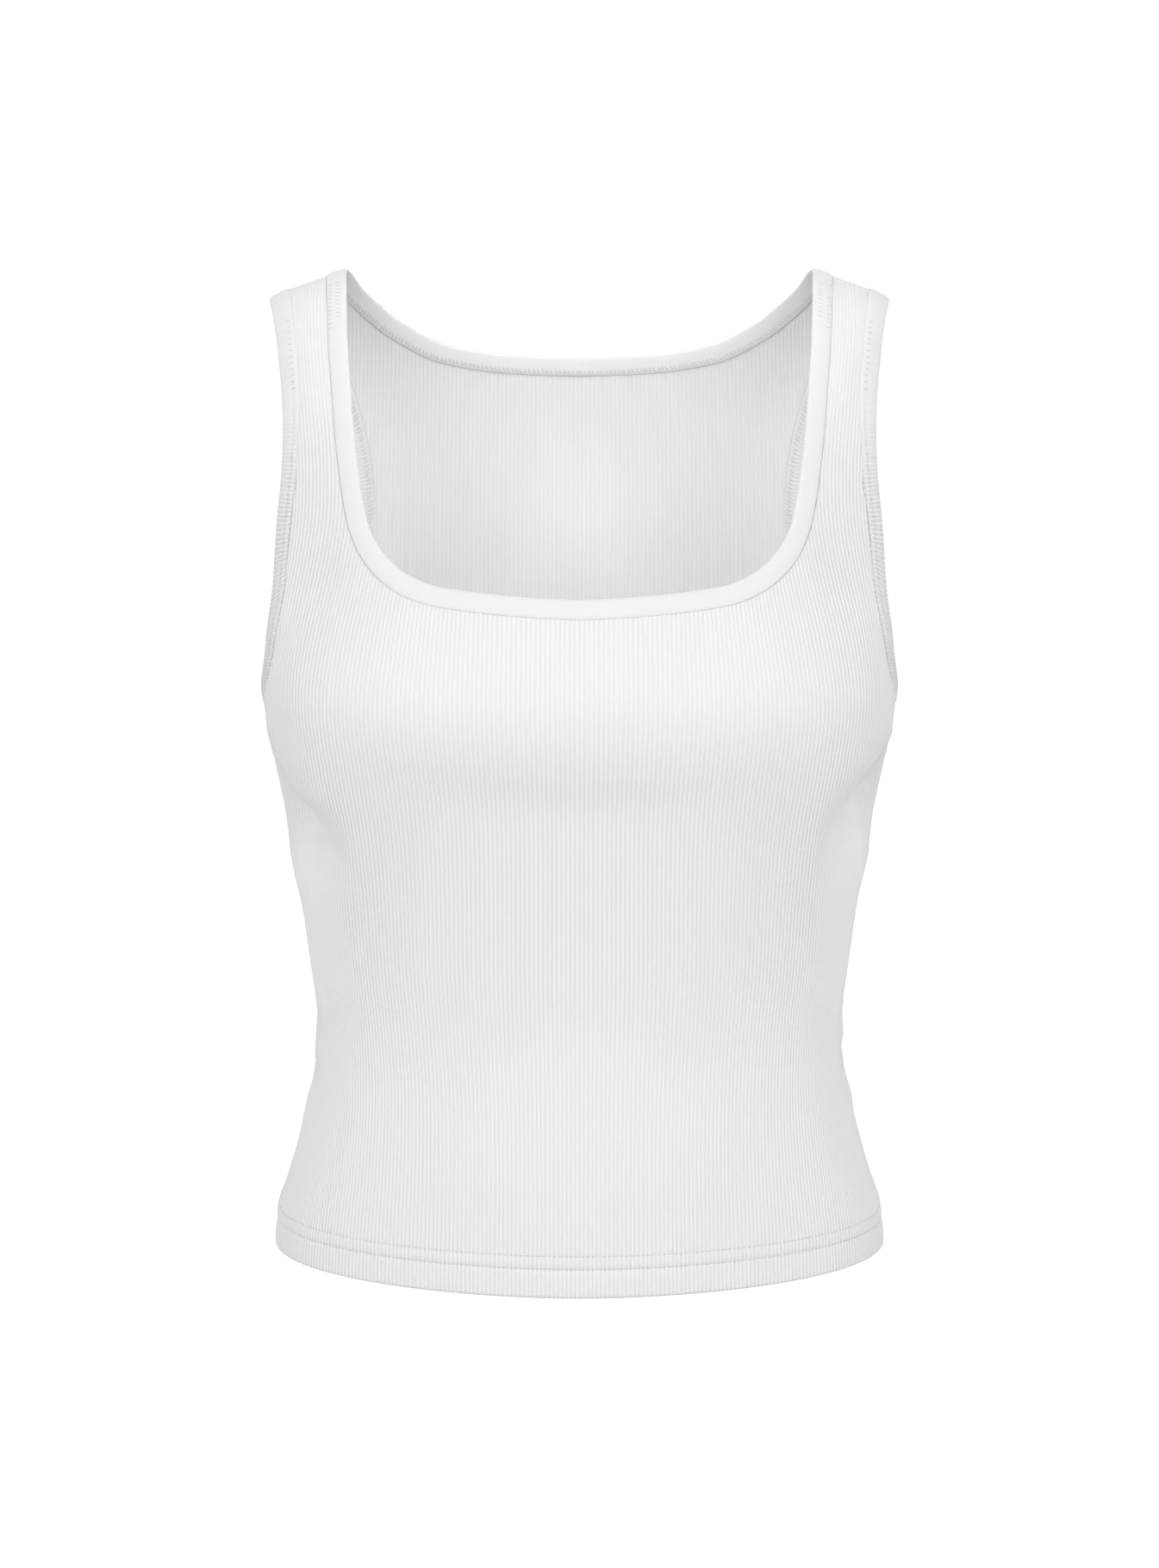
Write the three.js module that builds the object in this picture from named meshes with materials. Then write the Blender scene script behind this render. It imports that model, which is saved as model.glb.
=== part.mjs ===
// A cropped tank top in fine rib knit, as it is worn: two ribbed panels sewn at the sides and
// shoulders, a folded binding round the neck and one round each armhole, and a hem turned up inside.
// Millimetres. X points to the right of the picture, the wearer's left. Y points to the wearer's back.
// Z points up. The origin lies between the shoulders, level with the undersides of the two straps.
import * as THREE from "three";
import { mergeVertices } from "three/addons/utils/BufferGeometryUtils.js";

// Cloth
const CLOTH = 1.2; // wall of the knit, from its inner face to the valleys between ribs
const RIB_RISE = 0.5; // crests over valleys
const RIBS_BUILT = 64; // raised ribs on a panel, each of them three ribs of the real knit
const RIB_COLUMNS = 2; // wall columns that one raised rib takes, valley to crest to valley
const INNER_STEP = 8; // wall columns that one column of the plain inner face spans
const SEAM_GAP = 0.3; // between pieces that are sewn together
const GIRTH_SCALE = 200; // rough half girth, which turns a rib's number into a length

// Heights are measured along the cloth. Below the arch they are plain heights.
const HEM = -466.5; // at the side seams
const HEM_DIP = 7.5; // by which the hem hangs lower at the centre lines
const HEM_DIP_POWER = 1.5; // of the curve between the two
const HEM_EASE = 70; // height over which that dip fades out
const HEM_FOLD_TOP = -447.5; // top of the cloth turned up inside
const HEM_FOLD = 1.0; // thickness that the turned-up cloth adds inside
const ARMPIT = -203.5;
const SHOULDER_Z = 0; // crest of the shoulder over SHOULDER_X
const SHOULDER_X = 134;
const SHOULDER_SLOPE = Math.tan(THREE.MathUtils.degToRad(20));
const SHOULDER_POWER = 2.6; // roundness of a strap's arch, seen from the side, where 2 is an ellipse

// Bindings
const BAND_WIDTH = 10.2;
const BAND_OUTER = 0.9; // rise of the folded strip over the valleys of the knit
const BAND_INNER = -1.9; // its inner face, under the cloth
const BAND_TAPER = 0.7; // by which each face drops towards its free edge
const BAND_GAP = 0.5; // from the cut edge of a panel
const BAND_STEP = 6.5; // length of one facet along the strip
const BAND_DROOP = THREE.MathUtils.degToRad(6); // of an armhole's strip over the tip of the shoulder
const BAND_DROOP_REACH = 60; // length along the strap over which that droop fades out
const BAND_SPREAD = 1.2; // by which an armhole's strip lies wider on the strap than under the arm
const BAND_SPREAD_FROM = -90;
const BAND_SPREAD_TO = -40;

// A panel's form. half_width and depth are the half sizes of its level section, power is the section's
// squareness (2 is an ellipse), and crowd draws the ribs to the sides where it is over 0.
const FRONT_LEVELS = [
  // height, half_width, depth, power, crowd
  [-474.5, 149.5, 103.0, 2.1, -0.05],
  [-449.5, 147.2, 102.0, 2.1, -0.04],
  [-419.5, 138.5, 100.5, 2.12, 0.0],
  [-389.5, 131.0, 98.5, 2.15, 0.05],
  [-357.5, 127.5, 97.0, 2.2, 0.1],
  [-324.5, 131.3, 98.5, 2.25, 0.1],
  [-289.5, 136.0, 101.0, 2.4, 0.05],
  [-257.5, 141.6, 104.5, 2.6, 0.0],
  [-227.5, 147.0, 112.5, 2.8, -0.03],
  [-197.5, 152.0, 117.0, 2.85, -0.04],
  [-169.5, 154.5, 112.0, 2.7, -0.03],
  [-144.5, 156.0, 104.0, 2.45, 0.0],
  [-109.5, 157.0, 97.0, 2.4, 0.0],
  [-59.5, 156.0, 92.0, 2.4, 0.0],
  [0.5, 153.5, 90.0, 2.4, 0.0],
  [90.5, 152.5, 90.0, 2.4, 0.0],
];
const BACK_LEVELS = [
  // height, half_width, depth, power, crowd
  [-474.5, 149.5, 98.0, 2.2, 0.0],
  [-449.5, 147.2, 96.0, 2.2, 0.0],
  [-419.5, 138.5, 89.0, 2.2, 0.0],
  [-389.5, 131.0, 82.0, 2.2, 0.0],
  [-357.5, 127.5, 78.0, 2.25, 0.0],
  [-324.5, 131.3, 79.0, 2.3, 0.0],
  [-289.5, 136.0, 84.0, 2.35, 0.0],
  [-257.5, 141.6, 90.0, 2.4, 0.0],
  [-227.5, 147.0, 95.0, 2.4, 0.0],
  [-197.5, 152.0, 98.0, 2.4, 0.0],
  [-169.5, 154.5, 99.0, 2.4, 0.0],
  [-144.5, 156.0, 98.0, 2.4, 0.0],
  [-109.5, 157.0, 95.0, 2.4, 0.0],
  [-59.5, 156.0, 92.0, 2.4, 0.0],
  [0.5, 153.5, 90.0, 2.4, 0.0],
  [90.5, 152.5, 90.0, 2.4, 0.0],
];

// Cut edges of the panels where the bindings are sewn on. share is the part of the half girth from
// the centre line to the side seam, and height is measured along the cloth.
const FRONT_NECK = [
  // share, height
  [0.0, -156.3],
  [0.112, -155.0],
  [0.24, -152.5],
  [0.34, -149.0],
  [0.421, -141.7],
  [0.488, -129.3],
  [0.53, -113.0],
  [0.564, -83.0],
  [0.59, -46.0],
  [0.612, -7.5],
  [0.63, 59.0],
  [0.634, 85.3],
];
const FRONT_ARMHOLE = [
  // share, height
  [1.0, -203.5],
  [0.93, -202.0],
  [0.85, -197.5],
  [0.785, -188.5],
  [0.742, -175.0],
  [0.716, -150.5],
  [0.7, -117.5],
  [0.683, -83.5],
  [0.684, -47.5],
  [0.709, -12.5],
  [0.734, 30.0],
  [0.749, 62.0],
  [0.754, 85.3],
];
const BACK_NECK = [
  // share, height
  [0.0, -47.4],
  [0.153, -44.0],
  [0.26, -40.0],
  [0.368, -32.5],
  [0.478, -15.5],
  [0.534, -1.5],
  [0.585, 17.0],
  [0.614, 38.0],
  [0.634, 71.1],
];
const BACK_ARMHOLE = [
  // share, height
  [1.0, -203.5],
  [0.93, -202.0],
  [0.85, -198.0],
  [0.76, -189.0],
  [0.67, -174.0],
  [0.59, -155.0],
  [0.532, -134.0],
  [0.509, -115.0],
  [0.514, -95.0],
  [0.532, -74.0],
  [0.564, -50.0],
  [0.619, -19.0],
  [0.664, 10.0],
  [0.72, 45.0],
  [0.754, 71.1],
];

// The ribs of the front are drawn in towards the strap where the neckline turns up into it.
const STRAP_PULL = { share: 0.07, height: -104.5, below: 60, above: 75 };

const PANELS = {
  front: {
    side: -1,
    arch: -149.5, // height at which the cloth begins to arch over the shoulder
    levels: FRONT_LEVELS,
    neck: FRONT_NECK,
    armhole: FRONT_ARMHOLE,
    pull: STRAP_PULL.share,
  },
  back: {
    side: 1,
    arch: -124.5,
    levels: BACK_LEVELS,
    neck: BACK_NECK,
    armhole: BACK_ARMHOLE,
    pull: 0,
  },
};

// Heights of the wall's rows: below the armpit, beside the armhole and on the strap
const BODY_ROW = 26;
const ARMHOLE_ROW = 12.5;
const STRAP_BASE = -80;
const STRAP_ROW = 18;

const KNIT = { color: 0xf1f1f0, roughness: 0.92, metalness: 0 };
const BINDING = { color: 0xf4f4f4, roughness: 0.88, metalness: 0 };

const ramp = (x, low, high) => THREE.MathUtils.smoothstep((x - low) / (high - low), 0, 1);

// A row of a table at height x, along a smooth curve through its rows. The column named by key rises.
function rowAt(table, x, key) {
  const last = table.length - 1;
  const at = THREE.MathUtils.clamp(x, table[0][key], table[last][key]);
  let i = 0;
  while (i < last - 1 && table[i + 1][key] < at) i += 1;
  const span = table[i + 1][key] - table[i][key];
  const u = (at - table[i][key]) / span;
  const slope = (k, column) => {
    const a = table[Math.max(k - 1, 0)];
    const b = table[Math.min(k + 1, last)];
    return (b[column] - a[column]) / (b[key] - a[key]);
  };
  return table[i].map((start, column) => {
    const end = table[i + 1][column];
    const leave = slope(i, column) * span;
    const arrive = slope(i + 1, column) * span;
    const bend = 3 * (end - start) - 2 * leave - arrive;
    const twist = 2 * (start - end) + leave + arrive;
    return start + u * (leave + u * (bend + u * twist));
  });
}

// A level section: a quarter of a superellipse, and the length along it from the centre line.
const SECTION_STEPS = 160;
function section(halfWidth, depth, power) {
  const points = [];
  let length = 0;
  for (let k = 0; k <= SECTION_STEPS; k += 1) {
    const turn = (k / SECTION_STEPS) * (Math.PI / 2);
    const x = halfWidth * Math.sin(turn) ** (2 / power);
    const y = depth * Math.max(Math.cos(turn), 0) ** (2 / power);
    if (k > 0) length += Math.hypot(x - points[k - 1].x, y - points[k - 1].y);
    points.push({ x, y, length });
  }
  return points;
}

const sections = new Map();
function sectionAt(panel, height) {
  const key = `${panel.side} ${height.toFixed(4)}`;
  if (!sections.has(key)) {
    const [, halfWidth, depth, power] = rowAt(panel.levels, height, 0);
    sections.set(key, section(halfWidth, depth, power));
  }
  return sections.get(key);
}

function pointOnSection(points, share) {
  const length = Math.min(Math.max(share, 0), 1) * points.at(-1).length;
  let low = 0;
  let high = points.length - 1;
  while (high - low > 1) {
    const middle = (low + high) >> 1;
    if (points[middle].length <= length) low = middle;
    else high = middle;
  }
  const u = (length - points[low].length) / (points[high].length - points[low].length);
  return {
    x: points[low].x + u * (points[high].x - points[low].x),
    y: points[low].y + u * (points[high].y - points[low].y),
  };
}

// Height along the cloth at which a panel reaches the crest of the shoulder.
const crest = (panel) => panel.arch + (SHOULDER_Z - panel.arch) * (Math.PI / 2);

// The outer face of a panel, at the valleys between its ribs.
function surface(panel, share, height) {
  const flat = pointOnSection(sectionAt(panel, height), Math.abs(share));
  const rise = SHOULDER_Z - panel.arch;
  const turn = Math.max(0, (height - panel.arch) / rise);
  const arched = height > panel.arch ? panel.arch + rise * Math.sin(turn) : height;
  const lean = 1 - Math.cos(turn);
  const left = (1 - Math.sin(turn) ** SHOULDER_POWER) ** (1 / SHOULDER_POWER);
  return new THREE.Vector3(
    Math.sign(share) * flat.x,
    panel.side * flat.y * left * Math.sign(Math.cos(turn)),
    arched - SHOULDER_SLOPE * (flat.x - SHOULDER_X) * lean,
  );
}

function outward(panel, share, height) {
  const step = 0.004;
  const from = THREE.MathUtils.clamp(share - step, -1, 1);
  const to = THREE.MathUtils.clamp(share + step, -1, 1);
  const across = surface(panel, to, height).sub(surface(panel, from, height));
  const up = surface(panel, share, height + 1).sub(surface(panel, share, height - 1));
  const normal = across.cross(up).normalize();
  if (panel.side > 0) normal.negate();
  if (Math.abs(share) > 1 - step) normal.setY(0).normalize();
  return normal;
}

// A point of the cloth moved out by offset, kept on its own side of the side and shoulder seams.
function clothPoint(panel, share, height, offset) {
  const point = surface(panel, share, height).addScaledVector(outward(panel, share, height), offset);
  point.y = panel.side * Math.max(panel.side * point.y, SEAM_GAP / 2);
  return point;
}

// A rib keeps its number, from 0 at the centre line to 1 at the side seam, and its share of the girth
// changes with the height.
function shareOfRib(panel, rib, height) {
  const number = Math.abs(rib);
  const crowd = rowAt(panel.levels, height, 0)[4];
  const { height: middle, below, above } = STRAP_PULL;
  const reach = height < middle ? below : above;
  const pull = panel.pull * Math.exp(-(((height - middle) / reach) ** 2));
  const drawn = ramp(number, 0.15, 0.65) * (1 - ramp(number, 0.8, 1));
  return Math.sign(rib) * (number * (1 + crowd * (1 - number * number)) - pull * drawn);
}

function insidePanel(panel, rib, height) {
  const share = Math.abs(shareOfRib(panel, rib, height));
  const pastNeck = height <= panel.neck[0][1] || share >= rowAt(panel.neck, height, 1)[0];
  const withinArmhole = height <= ARMPIT || share <= rowAt(panel.armhole, height, 1)[0];
  return pastNeck && withinArmhole;
}

function evenRows(from, to, step) {
  const count = Math.max(1, Math.round((to - from) / step));
  return Array.from({ length: count }, (_, k) => from + ((to - from) * k) / count);
}

function rowHeights(panel) {
  return [
    HEM,
    HEM_FOLD_TOP,
    ...evenRows(HEM_FOLD_TOP + 2, ARMPIT, BODY_ROW),
    ...evenRows(ARMPIT, STRAP_BASE, ARMHOLE_ROW),
    ...evenRows(STRAP_BASE, crest(panel), STRAP_ROW),
    crest(panel),
  ];
}

// Cells of a panel between neighbouring ribs and rows, cut along the neckline and the armholes.
function panelCells(panel) {
  const across = (RIBS_BUILT * RIB_COLUMNS) / 2;
  const rows = rowHeights(panel);
  const spots = [];
  const found = new Map();
  const ribOf = (i) => i / across;
  const keep = (key, rib, height, node) => {
    if (!found.has(key)) {
      found.set(key, spots.length);
      spots.push({ rib, height, node });
    }
    return found.get(key);
  };
  const isIn = (i, j) => insidePanel(panel, ribOf(i), rows[j]);
  const corner = (i, j) => keep(`${i} ${j}`, ribOf(i), rows[j], { i, j });
  const cut = (a, b) => {
    const [inner, outer] = isIn(...a) ? [a, b] : [b, a];
    let low = 0;
    let high = 1;
    const place = (u) => [
      ribOf(inner[0]) + u * (ribOf(outer[0]) - ribOf(inner[0])),
      rows[inner[1]] + u * (rows[outer[1]] - rows[inner[1]]),
    ];
    for (let k = 0; k < 24; k += 1) {
      const middle = (low + high) / 2;
      if (insidePanel(panel, ...place(middle))) low = middle;
      else high = middle;
    }
    const u = THREE.MathUtils.clamp(low, 0.02, 0.98);
    return keep(`${inner} to ${outer}`, ...place(u), null);
  };
  const cells = [];
  for (let j = 0; j < rows.length - 1; j += 1) {
    for (let i = -across; i < across; i += 1) {
      const ring = [
        [i, j],
        [i + 1, j],
        [i + 1, j + 1],
        [i, j + 1],
      ];
      const outline = [];
      ring.forEach((a, k) => {
        const b = ring[(k + 1) % 4];
        if (isIn(...a)) outline.push(corner(...a));
        if (isIn(...a) !== isIn(...b)) outline.push(cut(a, b));
      });
      if (outline.length > 2) cells.push({ i, j, outline });
    }
  }
  return { spots, cells };
}

// The edges of a set of outlines that only one of them has, as a map from each spot to the next.
function openEdges(outlines) {
  const edges = new Map();
  outlines.forEach((outline) => {
    outline.forEach((a, k) => edges.set(`${a} ${outline[(k + 1) % outline.length]}`, a));
  });
  const next = new Map();
  edges.forEach((a, key) => {
    const [from, to] = key.split(" ").map(Number);
    if (!edges.has(`${to} ${from}`)) next.set(from, to);
  });
  return next;
}

function loopFrom(next) {
  const start = next.keys().next().value;
  const loop = [start];
  let spot = next.get(start);
  while (spot !== start) {
    loop.push(spot);
    spot = next.get(spot);
  }
  return loop;
}

// Outlines of the plain inner face: the cells of INNER_STEP columns joined, with every spot of the
// panel's edge kept.
function innerOutlines(spots, cells, edge) {
  const groups = new Map();
  cells.forEach((cell) => {
    const key = `${Math.floor(cell.i / INNER_STEP)} ${cell.j}`;
    if (!groups.has(key)) groups.set(key, []);
    groups.get(key).push(cell.outline);
  });
  const needed = (spot) => {
    const { node } = spots[spot];
    return edge.has(spot) || node.i % INNER_STEP === 0;
  };
  return [...groups.values()].map((outlines) => loopFrom(openEdges(outlines)).filter(needed));
}

const ribProfile = (rib) => {
  const phase = Math.abs(rib) * (RIBS_BUILT / 2);
  return RIB_RISE * (1 - 2 * Math.abs(phase - Math.floor(phase) - 0.5));
};

function solid(name, positions, triangles, finish) {
  const geometry = new THREE.BufferGeometry();
  const flat = positions.flatMap((p) => [p.x, p.y, p.z]);
  geometry.setAttribute("position", new THREE.Float32BufferAttribute(flat, 3));
  geometry.setIndex(triangles.flat());
  const merged = mergeVertices(geometry, 1e-4);
  merged.computeVertexNormals();
  const mesh = new THREE.Mesh(merged, new THREE.MeshStandardMaterial(finish));
  mesh.name = name;
  return mesh;
}

function middleOf(corners) {
  const mean = (key) => corners.reduce((sum, corner) => sum + corner[key], 0) / corners.length;
  return { rib: mean("rib"), height: mean("height") };
}

// A panel: ribbed outside, plain inside, doubled below the top of the turned-up hem.
function panelMesh(name) {
  const panel = PANELS[name];
  const { spots, cells } = panelCells(panel);
  const next = openEdges(cells.map((cell) => cell.outline));
  const positions = [];
  const triangles = [];
  const place = ({ rib, height }, offset) => {
    const dip = HEM_DIP * (1 - Math.abs(rib) ** HEM_DIP_POWER);
    const hung = height - dip * ramp(height, HEM + HEM_EASE, HEM);
    return positions.push(clothPoint(panel, shareOfRib(panel, rib, hung), hung, offset)) - 1;
  };
  const outer = spots.map((spot) => place(spot, ribProfile(spot.rib)));
  const inner = new Map();
  const innerOf = (k) => {
    if (!inner.has(k)) {
      const fold = spots[k].height <= HEM_FOLD_TOP ? HEM_FOLD : 0;
      inner.set(k, place(spots[k], -CLOTH - fold));
    }
    return inner.get(k);
  };
  cells.forEach(({ outline }) => {
    for (let k = 2; k < outline.length; k += 1) {
      triangles.push([outer[outline[0]], outer[outline[k - 1]], outer[outline[k]]]);
    }
  });
  innerOutlines(spots, cells, next).forEach((outline) => {
    const ring = outline.map(innerOf);
    if (spots[outline[0]].height === HEM) {
      const hub = place(middleOf(outline.map((k) => spots[k])), -CLOTH - HEM_FOLD);
      ring.forEach((a, k) => triangles.push([hub, ring[(k + 1) % ring.length], a]));
    } else {
      const flat = outline.map((k) => new THREE.Vector2(spots[k].rib * GIRTH_SCALE, spots[k].height));
      THREE.ShapeUtils.triangulateShape(flat, []).forEach(([a, b, c]) => {
        const turn = flat[b].clone().sub(flat[a]).cross(flat[c].clone().sub(flat[a]));
        triangles.push(turn > 0 ? [ring[a], ring[c], ring[b]] : [ring[a], ring[b], ring[c]]);
      });
    }
  });
  next.forEach((b, a) => {
    triangles.push([outer[b], outer[a], innerOf(a)]);
    triangles.push([outer[b], innerOf(a), innerOf(b)]);
  });
  if (panel.side > 0) triangles.forEach((t) => t.reverse());
  return solid(name, positions, triangles, KNIT);
}

// Stations along a cut edge of a panel, evenly spaced, each with its frame: along the edge, into the
// opening and out of the cloth.
function edgeStations(panel, table, hole) {
  const fine = [];
  const low = table[0][1];
  const high = crest(panel);
  const steps = 400;
  for (let k = 0; k <= steps; k += 1) {
    const height = low + (high - low) * (1 - Math.cos((k / steps) * (Math.PI / 2)));
    const share = rowAt(table, height, 1)[0];
    const point = surface(panel, share, height);
    const before = fine[k - 1];
    const length = before ? before.length + point.distanceTo(before.point) : 0;
    fine.push({ share, height, point, length });
  }
  const count = Math.round(fine[steps].length / BAND_STEP);
  return Array.from({ length: count + 1 }, (_, n) => {
    const length = (fine[steps].length * n) / count;
    const k = Math.max(1, Math.min(steps, fine.findIndex((f) => f.length >= length)));
    const a = fine[k - 1];
    const b = fine[k];
    const u = (length - a.length) / (b.length - a.length);
    const height = a.height + u * (b.height - a.height);
    const share = a.share + u * (b.share - a.share);
    const along = fine[Math.min(k + 2, steps)].point.clone().sub(fine[Math.max(k - 3, 0)].point);
    const out = outward(panel, share, height);
    if (n === 0) along.set(hole === "neck" ? 1 : 0, hole === "neck" ? 0 : 1, 0);
    if (n === count) along.set(0, 1, 0);
    along.addScaledVector(out, -along.dot(out)).normalize();
    const into = out.clone().cross(along);
    const towards = hole === "neck" ? new THREE.Vector3(-1, 0, 1) : new THREE.Vector3(1, 0, 1);
    if (into.dot(towards) < 0) into.negate();
    const droop = hole === "neck" ? 0 : BAND_DROOP * ramp(height, high - BAND_DROOP_REACH, high);
    const lowered = into.clone().multiplyScalar(Math.cos(droop)).addScaledVector(out, -Math.sin(droop));
    const raised = out.clone().multiplyScalar(Math.cos(droop)).addScaledVector(into, Math.sin(droop));
    const point = surface(panel, share, height).addScaledVector(into, -BAND_INNER * Math.sin(droop));
    const spread = hole === "neck" ? 0 : BAND_SPREAD * ramp(height, BAND_SPREAD_FROM, BAND_SPREAD_TO);
    return { point, into: lowered, out: raised, spread };
  });
}

const BAND_SECTION = [
  // distance into the opening, rise over the valleys of the cloth
  [BAND_GAP, BAND_INNER],
  [BAND_WIDTH, BAND_INNER + BAND_TAPER],
  [BAND_WIDTH, BAND_OUTER - BAND_TAPER],
  [BAND_GAP, BAND_OUTER],
];

function bandMesh(name, stations) {
  const size = BAND_SECTION.length;
  const positions = stations.flatMap(({ point, into, out, spread }) =>
    BAND_SECTION.map(([reach, rise]) => {
      const far = reach > BAND_GAP ? reach + spread : reach;
      return point.clone().addScaledVector(into, far).addScaledVector(out, rise);
    }),
  );
  const triangles = [];
  stations.forEach((_, n) => {
    const m = (n + 1) % stations.length;
    for (let k = 0; k < size; k += 1) {
      const l = (k + 1) % size;
      triangles.push([n * size + k, m * size + k, m * size + l]);
      triangles.push([n * size + k, m * size + l, n * size + l]);
    }
  });
  if (volume(positions, triangles) < 0) triangles.forEach((t) => t.reverse());
  return solid(name, positions, triangles, BINDING);
}

function volume(positions, triangles) {
  const cross = new THREE.Vector3();
  return triangles.reduce((sum, [a, b, c]) => {
    cross.crossVectors(positions[b], positions[c]);
    return sum + positions[a].dot(cross) / 6;
  }, 0);
}

const mirrored = (stations) =>
  stations.map(({ point, into, out, spread }) => {
    const flip = new THREE.Vector3(-1, 1, 1);
    return {
      spread,
      point: point.clone().multiply(flip),
      into: into.clone().multiply(flip),
      out: out.clone().multiply(flip),
    };
  });

// Half of a round edge, up the front and down the back, with the shared crest of the shoulder once.
function overShoulder(frontTable, backTable, hole) {
  const up = edgeStations(PANELS.front, frontTable, hole);
  const down = edgeStations(PANELS.back, backTable, hole).reverse();
  return [...up, ...down.slice(1)];
}

function neckBinding() {
  const right = overShoulder(FRONT_NECK, BACK_NECK, "neck");
  const left = mirrored(right).reverse().slice(1, -1);
  return bandMesh("neck_binding", [...right, ...left]);
}

function armholeBinding(name, mirror) {
  const loop = overShoulder(FRONT_ARMHOLE, BACK_ARMHOLE, "armhole").slice(0, -1);
  return bandMesh(name, mirror ? mirrored(loop) : loop);
}

const tankTop = new THREE.Group();
tankTop.add(
  panelMesh("front"),
  panelMesh("back"),
  neckBinding(),
  armholeBinding("armhole_binding_left", false),
  armholeBinding("armhole_binding_right", true),
);

export default tankTop;
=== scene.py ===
# A cropped tank top in fine rib knit, as it is worn. The five cloth pieces are built again here with
# every rib, and with the seams, stitches and soft creases that the solids leave out.
# Lengths are in millimetres until a mesh is made. Blender's own unit is the metre.
import math
import bpy
import numpy as np
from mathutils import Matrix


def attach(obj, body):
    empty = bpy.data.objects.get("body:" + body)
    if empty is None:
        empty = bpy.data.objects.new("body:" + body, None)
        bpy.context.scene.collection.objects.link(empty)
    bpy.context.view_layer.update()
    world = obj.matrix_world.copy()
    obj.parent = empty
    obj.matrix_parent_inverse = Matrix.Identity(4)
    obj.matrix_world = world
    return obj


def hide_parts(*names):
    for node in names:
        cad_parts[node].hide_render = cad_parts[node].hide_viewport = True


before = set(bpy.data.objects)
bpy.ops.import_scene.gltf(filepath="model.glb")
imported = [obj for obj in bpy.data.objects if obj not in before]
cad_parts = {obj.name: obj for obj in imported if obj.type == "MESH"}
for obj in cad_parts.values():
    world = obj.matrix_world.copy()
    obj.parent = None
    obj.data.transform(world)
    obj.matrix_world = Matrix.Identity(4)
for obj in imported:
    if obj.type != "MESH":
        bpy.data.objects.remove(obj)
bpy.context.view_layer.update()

MM = 0.001

# Cloth
CLOTH = 1.2  # wall of the knit between the valleys of its two faces
RIBS = 192  # ribs on a panel
COLUMNS = 4  # columns of a panel's mesh for each rib
RIB_RISE = 0.5
INNER_RISE = 0.22  # the knit's inner face, whose ribs fill the gaps between the outer ones
INNER_STRENGTH = 0.32  # how far the inner valleys are darkened with painted shade
SEAM_GAP = 0.3
QUARTER_GIRTH = 215  # rough length from the centre line to a side seam

# Heights are measured along the cloth. Below the arch they are plain heights. A pair of heights or of
# ribs is where something starts and where it is complete. A rib's number runs from 0 to 1 at the side.
HEM = -466.5
HEM_DIP = 7.5  # how far the hem hangs lower at the centre lines
HEM_DIP_POWER = 1.5
HEM_EASE = 70  # height over which the dip fades
HEM_FOLD = 1.0  # thickness that the turned-up cloth adds
HEM_FOLD_ENDS = (-447.9, -446.9)
HEM_ROUND = 1.3  # radius of the fold at the hem's edge
HEM_INNER_ROUND = 0.8  # share of that radius on the inner face
ARMPIT = -203.5
SHOULDER_Z = 0
SHOULDER_X = 134
SHOULDER_SLOPE = math.tan(math.radians(20))
SHOULDER_POWER = 2.6  # squareness of the arch from front to back

# Where the ribs lie flatter, on the straps, the bust and the belly, and where they stand out, under the
# bust and beside the arm. A band is its middle and its width.
STRAP_FLATNESS = 0.8
STRAP_FLAT = (-85, -35)
BUST_BAND = (-190, 42)
BELLY_BAND = (-385, 60)
BELLY_TAUT = 0.4  # of the flattening over the bust
TAUT_ENDS = (0.5, 0.8)  # ribs between which the flattening ends
UNDER_BUST_BAND = (-275, 55)
UNDER_BUST_RIBS = (0.68, 0.19)
ARM_BAND = (-145, 48)
ARM_SLACK = 0.6  # of the rise under the bust
ARM_RIBS = (0.42, 0.66)

# Sewing
STITCH_LOW = 13.0  # height of the hem's lower row of stitches over the edge
STITCH_HIGH = 18.6
SUNK_LOW = 0.46  # how deep the thread draws the cloth in
SUNK_HIGH = 0.2
SUNK_LOW_WIDTH = 0.45
SUNK_HIGH_WIDTH = 0.42
BETWEEN_RIBS = (1.25, 0.5)  # factor on SUNK_LOW in a valley, and what it loses on a rib's crest
PRESSED_RIB = 0.1  # share of a rib's rise that is lost at the rows
PRESSED_LOW_WIDTH = 1.2
PRESSED_HIGH_WIDTH = 1.1
# Where the hem's layers push the cloth out, between the two rows and below them.
HEM_PUFFS = [
    # height over the edge, width, rise
    (15.8, 2, 0.25),
    (6, 5, 0.2),
]
HEM_STITCH = 2.2
HEM_STITCH_PITCH = 2.9
HEM_STITCHED = 0.985  # share of the width that has stitches
STITCH_LIFT = 0.65  # share of a rib's rise at which a stitch lies
SIDE_GROOVE = 0.45
SHOULDER_GROOVE = 0.35
GROOVE_WIDTH = 1.3
ARMHOLE_GROOVE = 0.45
ARMHOLE_GROOVE_TOP = (-70, -115)
ARMHOLE_GROOVE_FOOT = (ARMPIT + 12, ARMPIT + 24)
PRESSED_BESIDE = (0.3, 1.6)  # distances from a binding's steep seam in which it presses the ribs flat
NECK_STEEP_ROWS = (4, 6)  # rows of a neck table between which its edge turns steep
ARMHOLE_STEEP = (ARMPIT + 15, ARMPIT + 30)
THREAD = 0.2  # radius of a sewing thread

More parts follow.
